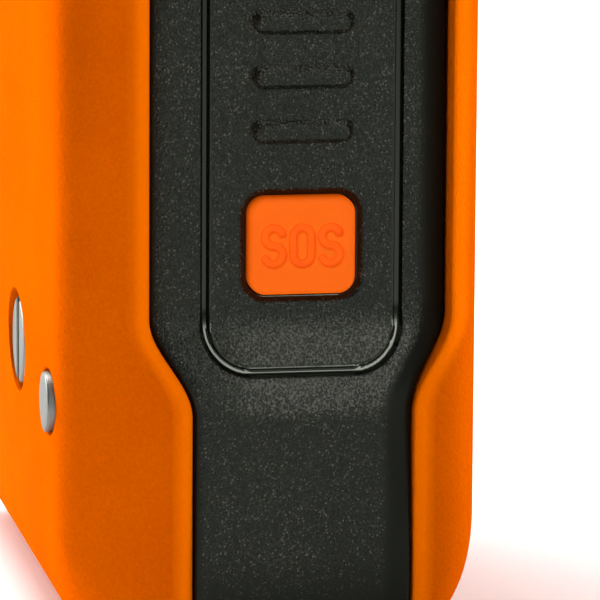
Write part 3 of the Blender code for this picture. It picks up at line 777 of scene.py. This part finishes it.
def display_glass():
    """A hard-coated window: black printed border round a dark grey-green display that is off."""
    material, shader, here = start("display_glass", {
        "Specular IOR Level": 0.35, "Coat Weight": 0.15, "Coat Roughness": 0.04})
    half_x, half_z = 19.5 * MM, 14.5 * MM
    across = maths("ABSOLUTE", split(here)["X"], 0.0)
    up = maths("ABSOLUTE", maths("SUBTRACT", split(here)["Z"], mid(WINDOW_BOX, Z) * MM), 0.0)
    beyond = maths("MAXIMUM", maths("SUBTRACT", across, half_x), maths("SUBTRACT", up, half_z))
    edge = mixed((beyond, 1), (noise(here, 1500.0, 3.0), 0.00002))
    mask = spread(edge, 0.0, 1.0, -0.00005, 0.00005)
    tint = colours(mask, ((0.0, (0.040, 0.052, 0.042)), (1.0, (0.004, 0.004, 0.005))))
    dress(shader, tint, spread(noise(here, 60.0, 4.0), 0.04, 0.11),
          bump(noise(here, 25.0, 2.0), 0.1, 0.05))
    return material


def floor_paper():
    """Very pale matt paper with a trace of fibre."""
    material, shader, here = start("floor_paper", {"Roughness": 0.9})
    fibre = noise(here, 40.0, 4.0)
    tint = colours(fibre, ((0.3, (0.82, 0.82, 0.82)), (0.7, (0.84, 0.84, 0.84))))
    feed(shader.inputs["Base Color"], tint)
    return material


ORANGE = orange_shell()
BLACK = black_grain_and_glint("black_frame", 0.15, 0.32)
RUBBER = black_grain_and_glint("black_rubber", 0.55, 0.17)
SIGNAL = signal_plastic("signal_orange", (0.95, 0.135, 0.003), 0.27)
STEEL = metal("turned_steel", (0.44, 0.45, 0.43), 0.34)
SATIN = metal("satin_steel", (0.23, 0.24, 0.22), 0.42)
BRASS = metal("turned_brass", (0.78, 0.56, 0.24), 0.28)
TINNED = metal("tinned_sheet", (0.68, 0.68, 0.67), 0.35, 0.012, (1.0, 0.2, 0.2))
SEAL = moulding("soft_seal", ((0.13, 0.135, 0.14), (0.19, 0.195, 0.2)), (600.0, 4.0), (2600.0, 3.0),
                (0.5, 0.72), True, 0.3, 0.01)
INNER = moulding("inner_plastic", ((0.05, 0.05, 0.052), (0.075, 0.075, 0.075)), (300.0, 3.0),
                 (2800.0, 3.0), (0.4, 0.6), False, 0.4, 0.02)
PIPE = moulding("light_pipe", ((0.62, 0.64, 0.62), (0.78, 0.80, 0.78)), (900.0, 3.0), (900.0, 3.0),
                (0.18, 0.34), True, 0.2, 0.01)
FERRITE = ferrite_ceramic()
COPPER = copper_winding()
BOARD = circuit_board()
CELL = cell_sleeve()
WINDOW = display_glass()


# ---------------------------------------------------------------- shells

# Holes in the shells: a radius or a gap round the piece inside, and the level of the cutter's floor.
RECESS_RADIUS, RECESS_FLOOR = 4.0, 14.9
STUD_SEAT_RADIUS, STUD_SEAT_FLOOR = 2.47, 12.0
SCREW_HOLE_RADIUS = 2.1
WINDOW_GAP, WINDOW_FLOOR = 0.15, -14.4
FRONT_KEY_GAP, FRONT_FLOOR = 0.15, -12.0


def spot(node):
    """Centre of a CAD node across and up the body."""
    box = box_mm(node)
    return mid(box, X), mid(box, Z)


def rim_highlight_share(parting):
    """A band on a shell's wall along its parting line, where the orange is lightened as a painted
    highlight.
    """
    return lambda x, y, z: 1.0 - ramp(np.abs(y) - np.abs(parting(z)), 0.8, 1.75)


def make_rear_cover():
    """The rear shell with its screw recesses and stud seats."""
    cover = loft("rear_cover_skin", shell_rings(1, rear_parting, REAR_CROWN, REAR_LIP))
    skin = lambda x, z: crown_y(x, REAR_CROWN)
    tools = []
    for label in ("left", "right"):
        tools.append(cutter(f"recess_{label}", round_mouth(RECESS_RADIUS, 64), "y",
                            spot(f"coin_screw_{label}"), RECESS_FLOOR, skin, 0.3))
        tools.append(cutter(f"stud_{label}", round_mouth(STUD_SEAT_RADIUS, 48), "y",
                            spot(f"charge_stud_{label}"), STUD_SEAT_FLOOR, skin, 0.22))
    boolean(cover, tools)
    hole = [(SCREW_HOLE_RADIUS, 12.0), (SCREW_HOLE_RADIUS, 15.5)]
    boolean(cover, [turned(f"hole_{label}", hole, "y", spot(f"coin_screw_{label}"))
                    for label in ("left", "right")])
    mark_grain_and_light(cover, rim_highlight_share(rear_parting))
    piece(cover, "rear_cover", ORANGE, "orange_shell", "rear_cover")


def make_front_shell():
    """The front shell with the window's seat and the mouths of keys, sounder and light."""
    shell = loft("front_shell_skin", shell_rings(-1, front_parting, FRONT_CROWN, FRONT_LIP))
    skin = lambda x, z: -crown_y(x, FRONT_CROWN)
    size = (extent(WINDOW_BOX, X) + 2 * WINDOW_GAP, extent(WINDOW_BOX, Z) + 2 * WINDOW_GAP)
    seat_skin = lambda x, z: -(FACE_EDGE + FRONT_CROWN[0])
    tools = [cutter("seat", square_mouth(size, 3.1, 12), "y", (0.0, mid(WINDOW_BOX, Z)), WINDOW_FLOOR,
                    seat_skin, 0.45)]
    for name, (width, tall, radius) in KEY_SHAPES.items():
        size = (width + 2 * FRONT_KEY_GAP, tall + 2 * FRONT_KEY_GAP)
        outline = square_mouth(size, radius + FRONT_KEY_GAP - 0.001, 12)
        tools.append(cutter(f"{name}_mouth", outline, "y", spot(name), FRONT_FLOOR, skin, 0.3))
    sounder = spot("sounder")
    for index, (u, v) in enumerate([(0.0, 0.0), *circle(4.0, 6)]):
        tools.append(cutter(f"sound_{index}", round_mouth(0.9, 24), "y",
                            (sounder[0] + u, sounder[1] + v), FRONT_FLOOR, skin, 0.25))
    tools.append(cutter("light", round_mouth(1.6, 32), "y", spot("status_light_guide"), FRONT_FLOOR,
                        skin, 0.2))
    boolean(shell, tools)
    mark_grain_and_light(shell, rim_highlight_share(front_parting))
    piece(shell, "body", ORANGE, "orange_shell", "front_shell")


# ---------------------------------------------------------------- mid frame and pads

def side_skin(sign):
    """The dished side panel's level, for the side that the sign names."""
    return lambda y, z: sign * (WIDTH / 2 - panel_sink(z))


def make_mid_frame():
    """The frame's ring with its inner arms and ears, the lanyard notch, and the pads' pockets."""
    frame_skin = loft("mid_frame_skin", frame_rings(), closed=True)
    arms, bosses = [], []
    wall_x, arm_y, ear_half = 29.5, (3.0, 7.7), 3.2
    for label, sign in (("left", -1), ("right", 1)):
        screw = spot(f"coin_screw_{label}")
        arms.append(block("arm", sorted((screw[0], sign * wall_x)), arm_y, (21.9, 27.6)))
        bosses.append(turned("boss", [(4.1, level) for level in arm_y], "y", screw, 48))
        for z in (16.0, 100.0):
            arms.append(block("ear", sorted((sign * 22.0, sign * wall_x)), (-5.5, -2.5),
                              (z - ear_half, z + ear_half)))
    bar_low, bar_high = BAR_BOX
    notch_x = (bar_low.x + 1.3, bar_high.x - 1.3)
    notch_y = (-8.3, 3.3)
    arms.append(block("lanyard_block", (notch_x[0] - 2.0, notch_x[1] + 2.0),
                      (notch_y[0] - 1.4, notch_y[1] + 1.4), (107.4, 115.0)))
    arms.append(turned("collar", [(7.75, 112.9), (7.75, 117.75), (7.6, 117.9)], "z", KNOB_CENTRE, 96))
    boolean(frame_skin, arms, "UNION")
    boolean(frame_skin, bosses, "UNION")
    tools = []
    groove = square_mouth([length + 2 * GROOVE for length in PAD_SIZE], PAD_RADIUS + GROOVE, 16)
    for label, sign in (("left", -1), ("right", 1)):
        tools.append(cutter(f"pocket_{label}", groove, "x", (PAD_Y, PAD_Z),
                            sign * (WIDTH / 2 - PAD_FLOOR), side_skin(sign), 0.14, 3, 3.0))
        tools.append(turned("insert_bore", [(3.0, 2.0), (3.0, 9.0)], "y", spot(f"coin_screw_{label}")))
    for index in range(1, 5):
        tools.append(turned("ear_hole", [(1.4, -6.5), (1.4, -1.5)], "y",
                            spot(f"housing_screw_{index}"), 24))
    size = (notch_x[1] - notch_x[0], notch_y[1] - notch_y[0])
    centre = (sum(notch_x) / 2, sum(notch_y) / 2)
    top_skin = lambda x, y: HEIGHT - wall_inset(END_ROLL, y)
    tools.append(cutter("notch", square_mouth(size, 2.0, 10), "z", centre, 109.7, top_skin, 0.7))
    boolean(frame_skin, tools)
    bores = [turned("bar_bore", [(1.15, bar_low.x - 0.2), (1.15, bar_high.x + 0.2)], "x", BAR_CENTRE, 32),
             turned("shaft_bore", [(3.0, 110.0), (3.0, 121.0)], "z", KNOB_CENTRE),
             turned("sos_bore", [(2.0, -(WIDTH / 2 - 2.5)), (2.0, -(WIDTH / 2 - 7.0))], "x",
                    SOS_CENTRE, 32)]
    boolean(frame_skin, bores)
    mark_grain_and_light(frame_skin, frame_grain_and_highlight)
    piece(frame_skin, "body", BLACK, "black_frame", "mid_frame")


def frame_grain_and_highlight(x, y, z):
    """The frame's grain: full on the panel, faded on the front chamfer and low on the tapered foot, with
    a painted highlight where the side steps down.
    """
    end = np.minimum(z, HEIGHT - z)
    inner = ramp(y - front_parting(z), 1.5, 2.6) * 0.9 + 0.1
    edge = ramp(rear_parting(z) - y, 0.1, 0.7)
    foot = 0.2 + 0.8 * ramp(end, 4.5, 10.0)
    return inner * edge * foot * step_grain_and_highlight(y, end)


def step_grain_and_highlight(y, end):
    """Ordinary grain, and a painted highlight of paler, coarser specks where the side steps down to the
    panel.
    """
    step = ramp(end, 19.4, 21.4) * (1.0 - ramp(end, 26.0, 28.2)) * (1.0 - ramp(y, 0.8, 5.2))
    return FULL_GRAIN + (1.0 - FULL_GRAIN) * step


def sos_distance(y, z):
    """Distance to the SOS key's outline, negative inside."""
    return rounded_distance(y - SOS_CENTRE[0], z - SOS_CENTRE[1], SOS_SIZE[0] / 2, SOS_SIZE[1] / 2,
                            SOS_RADIUS)


def pad_height(has_key):
    """Relief of a side pad: the channel round it, its ribs, and the well of the SOS key."""
    def height(u, v, inside):
        channel = 1.7 * np.sin(np.pi * np.clip(inside / GROOVE, 0.0, 1.0))
        rise = -GROOVE_DEPTH * ramp(channel, 0.0, 1.25)
        z = PAD_Z + v
        for level in RIB_HEIGHTS:
            edge = rounded_distance(u, z - level, RIB_SIZE[0] / 2, RIB_SIZE[1] / 2, 0.8)
            rise = rise + RIB_RISE * ramp(-edge, -0.12, 0.42)
        if has_key:
            rise = rise - WELL_DEPTH * ramp(-sos_distance(PAD_Y + u, z), -WELL_WIDTH, -0.15)
        return rise

    return height


def make_pad(name, sign, node, has_key):
    """A side's rubber insert, with a hole for the SOS key on the left."""
    grown = GROOVE - PAD_CLEARANCE
    size = [length + 2 * grown for length in PAD_SIZE]
    base = sign * (WIDTH / 2 - PAD_FLOOR + 0.3)
    pad = relief(name, size, PAD_RADIUS + grown, 0.12, pad_height(has_key), "x", (PAD_Y, PAD_Z),
                 side_skin(sign), sign, base, 24)
    if has_key:
        outline = square_mouth(SOS_SIZE, SOS_RADIUS, 10)(KEY_GAP)
        rings = [[(x, SOS_CENTRE[0] + u, SOS_CENTRE[1] + v) for u, v in outline]
                 for x in (-(WIDTH / 2 + 2.0), -(WIDTH / 2 - 6.0))]
        boolean(pad, [loft("key_hole", rings)], sharp=60.0)
    mark_grain_and_light(pad, lambda x, y, z: pad_grain_and_highlight(y, z, has_key))
    piece(pad, "body", RUBBER, "black_rubber", node)


def pad_grain_and_highlight(y, z, has_key):
    """A pad's grain: none in the channel and the well, with painted highlights where the side steps down
    and along each rib's upper edge.
    """
    inside = -rounded_distance(y - PAD_Y, z - PAD_Z, PAD_SIZE[0] / 2, PAD_SIZE[1] / 2, PAD_RADIUS)
    grain = ramp(inside, 0.0, 0.25) * step_grain_and_highlight(y, z)
    # Painted highlight: a pale band along each rib's upper edge.
    for level in RIB_HEIGHTS:
        edge = level + RIB_SIZE[1] / 2 - RIB_HIGHLIGHT_DROP
        above = rounded_distance(y - PAD_Y, z - edge, RIB_SIZE[0] / 2 - 0.5, 0.12, 0.1)
        grain = np.maximum(grain, 1.0 - ramp(above, 0.0, 0.2))
    if has_key:
        grain = grain * ramp(sos_distance(y, z), 0.1, 0.6)
    return grain


# ---------------------------------------------------------------- keys

# Each front key's width, height and corner radius.
KEY_SHAPES = {"key_down": (13.0, 8.0, 3.0), "key_flag": (12.0, 12.0, 6.0), "key_up": (13.0, 8.0, 3.0)}
LETTER_HALF = 1.36
LETTER_PITCH = 2.17
LETTER_STROKE = 0.3
LETTER_DEPTH = 0.24


def arc_distance(u, v, centre_v, radius, start, sweep):
    """Distance to an arc that starts at an angle and sweeps on from it, in radians."""
    angle = np.mod(np.arctan2(v - centre_v, u) - start, 2 * math.pi)
    on_arc = np.abs(np.hypot(u, v - centre_v) - radius)
    ends = []
    for turn in (start, start + sweep):
        ends.append(np.hypot(u - radius * math.cos(turn), v - centre_v - radius * math.sin(turn)))
    return np.where(angle <= sweep, on_arc, np.minimum(*ends))


def letter_s(u, v):
    """A stroke S: an upper arc open to the right and a lower arc open to the left."""
    r = LETTER_HALF / 2
    upper = arc_distance(u, v, r, r, math.radians(25), math.radians(245))
    lower = arc_distance(u, v, -r, r, math.radians(205), math.radians(245))
    return np.minimum(upper, lower)


def letter_o(u, v):
    """A stroke O: an upright oval."""
    r = LETTER_HALF / 2
    up = np.clip(v, -r, r)
    return np.abs(np.hypot(u, v - up) - r)


def distress_letters(u, v):
    """How deep the general distress mark is cut at a point, from 0 to 1."""
    strokes = np.minimum(letter_o(u, v), np.minimum(letter_s(u + LETTER_PITCH, v),
                                                    letter_s(u - LETTER_PITCH, v)))
    return ramp(LETTER_STROKE - strokes, -0.1, 0.1)


def letter_wall_shade(x, y, z):
    """How much painted shade darkens the key's colour: most along the letters' walls, a little inside
    them.
    """
    depth = distress_letters(SOS_CENTRE[0] - y, z - SOS_CENTRE[1])
    return 0.35 * depth + 2.4 * depth * (1.0 - depth)


def make_sos_key():
    """The SOS key's cap, read from the -X side, so its letters run towards -Y."""
    top = -(WIDTH / 2 - PANEL_DEPTH - PANEL_DISH)
    lift = top - SOS_BOX[0].x

    def height(u, v, inside):
        return lift - edge_drop(inside, 0.42) - LETTER_DEPTH * distress_letters(-u, v)

    key = relief("sos_key_cap", SOS_SIZE, SOS_RADIUS, 0.06, height, "x", SOS_CENTRE,
                 lambda y, z: top, -1, top + 0.9, 20)
    stem = turned("stem", [(1.5, top + 0.3), (1.5, SOS_BOX[1].x)], "x", SOS_CENTRE)
    boolean(key, [stem], "UNION", 60.0)
    mark_grain_and_light(key, letter_wall_shade)
    piece(key, "sos_button", SIGNAL, "signal_orange", "sos_button")


def arrow_mark(sign):
    """A raised triangle that points up or down."""
    def mark(u, v):
        v = v * sign
        edge = np.maximum(np.abs(u) * 0.86 + v * 0.5 - 0.75, -v - 1.1)
        return ramp(-edge, -0.08, 0.12)

    return mark


def flag_mark(u, v):
    """A raised flag on a pole."""
    pole = rounded_distance(u + 1.7, v, 0.22, 2.4, 0.2)
    cloth = rounded_distance(u - 0.25, v - 1.0, 1.6, 1.15, 0.15)
    return ramp(-np.minimum(pole, cloth), -0.08, 0.12)


def make_front_keys():
    """Dished rubber keys on the front, each with its raised mark."""
    marks = {"key_down": arrow_mark(-1.0), "key_flag": flag_mark, "key_up": arrow_mark(1.0)}
    raised = 0.25
    for name, (width, tall, radius) in KEY_SHAPES.items():
        face = box_mm(name)[0].y + raised

        def height(u, v, inside, mark=marks[name]):
            dish = 0.22 * ramp(inside, 0.5, 3.2)
            return -edge_drop(inside, 0.7) - dish + raised * mark(u, v)

        key = relief(f"{name}_cap", (width, tall), radius - 0.001, 0.1, height, "y", spot(name),
                     lambda x, z: face, -1, face + 4.2, 20)
        mark_grain_and_light(key, lambda x, y, z: np.full(len(x), 0.25))
        piece(key, name, RUBBER, "black_rubber", name)


# ---------------------------------------------------------------- small parts

def make_window():
    """A flat pane with a narrow chamfer."""
    low, high = WINDOW_BOX
    size = (extent(WINDOW_BOX, X), extent(WINDOW_BOX, Z))
    height = lambda u, v, inside: -np.maximum(0.25 - inside, 0.0)
    window = relief("window_pane", size, 3.0, 0.5, height, "y", (0.0, mid(WINDOW_BOX, Z)),
                    lambda x, z: low.y, -1, high.y, 10, 30.0)
    piece(window, "body", WINDOW, "window", "display_window")


def turned_head(name, neck, edge, face, segments):
    """A screw or stud along y: its neck's (radius, level) pairs, a rounded rim and the face's radii."""
    box = box_mm(name)
    top, full = box[1].y, extent(box, X) / 2
    profile = [(neck[0][0], box[0].y), *neck, (full, neck[-1][1]), (full, top - edge)]
    profile += [(full - sideways, top + upwards) for sideways, upwards in fillet(edge, 4)]
    profile += [(radius, top) for radius in face]
    return turned(f"{name}_turned", profile, "y", spot(name), segments, sharp=35.0)


def make_coin_screws():
    """Coin screws with a turned face, a rounded rim and a clean coin slot."""
    for name in ("coin_screw_left", "coin_screw_right"):
        screw = turned_head(name, [(1.3, 9.4), (1.7, 9.4), (1.7, 15.2)], 0.3, (2.2, 1.1), 72)
        boolean(screw, [slot_cutter(*spot(name), box_mm(name)[1].y)], sharp=35.0)
        piece(screw, name, SATIN, "steel", name)


def slot_cutter(x, z, top):
    """A coin slot with softened edges, standing upright and open at both ends."""
    reach = 3.6
    corners = ((1, 1), (-1, 1), (-1, -1), (1, -1))
    return loft("slot", [
        [(x + half * u, level, z + reach * v) for u, v in corners]
        for half, level in ((0.68, top - 1.1), (0.68, top - 0.1), (0.76, top), (0.76, top + 1.0))])


def make_charge_studs():
    """Charging studs with a neck behind a flat, rounded head."""
    for name in ("charge_stud_left", "charge_stud_right"):
        stud = turned_head(name, [(2.2, 12.9), (1.6, 12.9), (1.6, 13.9)], 0.2, (1.2,), 56)
        piece(stud, "rear_cover", SATIN, "steel", name)


def make_knob():
    """The mode knob: a fluted wall, a rounded crown, a dished top and a cut pointer."""
    low, high = KNOB_BOX
    full = extent(KNOB_BOX, X) / 2
    rows = [(2.8, low.z), (full - 0.9, low.z), (full - 0.55, low.z + 0.15), (full - 0.45, low.z + 0.5)]
    rows += [(full - 0.02, low.z + 0.9 + 0.25 * i) for i in range(17)]
    crown = 1.2
    for step in range(9):
        angle = math.pi / 2 * step / 8
        rows.append((full - crown + crown * math.cos(angle), high.z - crown + crown * math.sin(angle)))
    rows += [(full - crown - 0.25 * i, high.z - 0.28 * ramp(i, 0, 5)) for i in range(1, 24)]
    segments, flutes, flute_depth = 288, 12, 0.75
    first_fluted, first_on_top = 4, 23
    rings = []
    for index, (radius, level) in enumerate(rows):
        strength = ramp(level, low.z + 0.5, low.z + 1.4) * (1 - ramp(level, high.z - 1.3, high.z))
        ring = []
        for step in range(segments):
            angle = 2 * math.pi * step / segments
            bite = (0.5 + 0.5 * math.cos(flutes * angle)) ** 2.2
            r = radius - flute_depth * strength * bite if index >= first_fluted else radius
            u, v = r * math.cos(angle), r * math.sin(angle)
            cut = 0.0
            if index >= first_on_top:
                near = math.hypot(u, v - min(max(v, -(full - 1.4)), -1.6))
                cut = 0.35 * ramp(0.5 - near, -0.1, 0.15)
            ring.append((KNOB_CENTRE[0] + u, KNOB_CENTRE[1] + v, level - cut))
        rings.append(ring)
    knob = loft("mode_knob_cap", rings, sharp=50.0)
    piece(knob, "mode_knob", SIGNAL, "signal_orange", "mode_knob")


def make_lanyard_bar():
    low, high = BAR_BOX
    radius = extent(BAR_BOX, Z) / 2
    profile = [(radius - 0.3, low.x), (radius, low.x + 0.3), (radius, high.x - 0.3),
               (radius - 0.3, high.x)]
    bar = turned("lanyard_bar_turned", profile, "x", BAR_CENTRE, 40)
    piece(bar, "body", STEEL, "steel", "lanyard_bar")


def finish_cad_nodes():
    """Materials for the CAD nodes that stay as they are."""
    looks = {"seal_rubber": SEAL, "steel": STEEL, "shielding": TINNED, "brass": BRASS, "copper": COPPER,
             "ferrite": FERRITE, "board": BOARD, "window": WINDOW, "grey_plastic": INNER, "cell": CELL}
    for part in frame["record"]["subparts"]:
        node = frame["nodes"][part["node"]]
        if node.hide_render:
            continue
        look = PIPE if part["node"] == "status_light_guide" else looks[part["material_slot"]]
        node.data.materials.clear()
        node.data.materials.append(look)


# ---------------------------------------------------------------- stage

def area_light(name, place, target, size, power, spread_degrees=180.0):
    """A softbox that looks at its target. Places and sizes are in metres."""
    data = bpy.data.lights.new(name, "AREA")
    data.shape = "RECTANGLE"
    data.size, data.size_y = size
    data.energy = power
    data.spread = math.radians(spread_degrees)
    light = link_new(name, data)
    light.location = place
    light.rotation_euler = (Vector(target) - Vector(place)).to_track_quat("-Z", "Y").to_euler()


def make_stage():
    """A pale floor just below the part, an even white sky and five softboxes."""
    bm = bmesh.new()
    bmesh.ops.create_grid(bm, x_segments=8, y_segments=8, size=2500.0)
    floor = make_object("floor", bm)
    floor.location.z = -0.2 * MM
    floor.data.materials.append(floor_paper())
    world = bpy.data.worlds.new("studio")
    world.use_nodes = True
    sky = world.node_tree.nodes["Background"]
    sky.inputs["Color"].default_value = (1.0, 1.0, 1.0, 1.0)
    sky.inputs["Strength"].default_value = 0.195
    bpy.context.scene.world = world
    middle_point = (0.0, 0.0, 0.05)
    area_light("rear_softbox", (0.38, 0.46, 0.2), middle_point, (0.3, 0.4), 4.2)
    area_light("front_softbox", (0.0, -0.62, 0.14), middle_point, (0.25, 0.4), 2.8)
    area_light("top_softbox", (0.32, 0.10, 0.5), (0.17, 0.03, 0.0), (0.4, 0.4), 1.65, 80.0)
    area_light("key_softbox", (-0.53, -0.15, 0.21), middle_point, (0.17, 0.13), 0.62)
    area_light("high_softbox", (-0.24, -0.1, 0.5), middle_point, (0.2, 0.16), 0.3)


def make_camera():
    """A long lens a little behind and above the SOS side, close in on its lower part."""
    azimuth, elevation, tilt = math.radians(259.51), math.radians(10.0), 0.0061
    distance, lens = 0.4, 320.4
    back = Vector((math.sin(azimuth) * math.cos(elevation), -math.cos(azimuth) * math.cos(elevation),
                   math.sin(elevation)))
    level = Vector((0.0, 0.0, 1.0)).cross(back).normalized()
    over = back.cross(level)
    right = level * math.cos(tilt) + over * math.sin(tilt)
    up = over * math.cos(tilt) - level * math.sin(tilt)
    target = Vector((-0.0321, -0.0022, 0.0287)) + right * 0.00024 + up * 0.00015
    data = bpy.data.cameras.new("camera")
    data.lens = lens
    data.clip_start = 0.01
    camera = link_new("camera", data)
    turn = Matrix((right, up, back)).transposed().to_4x4()
    camera.matrix_world = Matrix.Translation(target + back * distance) @ turn
    bpy.context.scene.camera = camera
    bpy.context.scene.view_settings.view_transform = "Standard"


make_rear_cover()
make_front_shell()
make_mid_frame()
make_pad("side_keypad_pad", -1, "side_keypad", True)
make_pad("grip_pad_pad", 1, "grip_pad", False)
make_sos_key()
make_front_keys()
make_window()
make_coin_screws()
make_charge_studs()
make_knob()
make_lanyard_bar()
finish_cad_nodes()
make_stage()
make_camera()
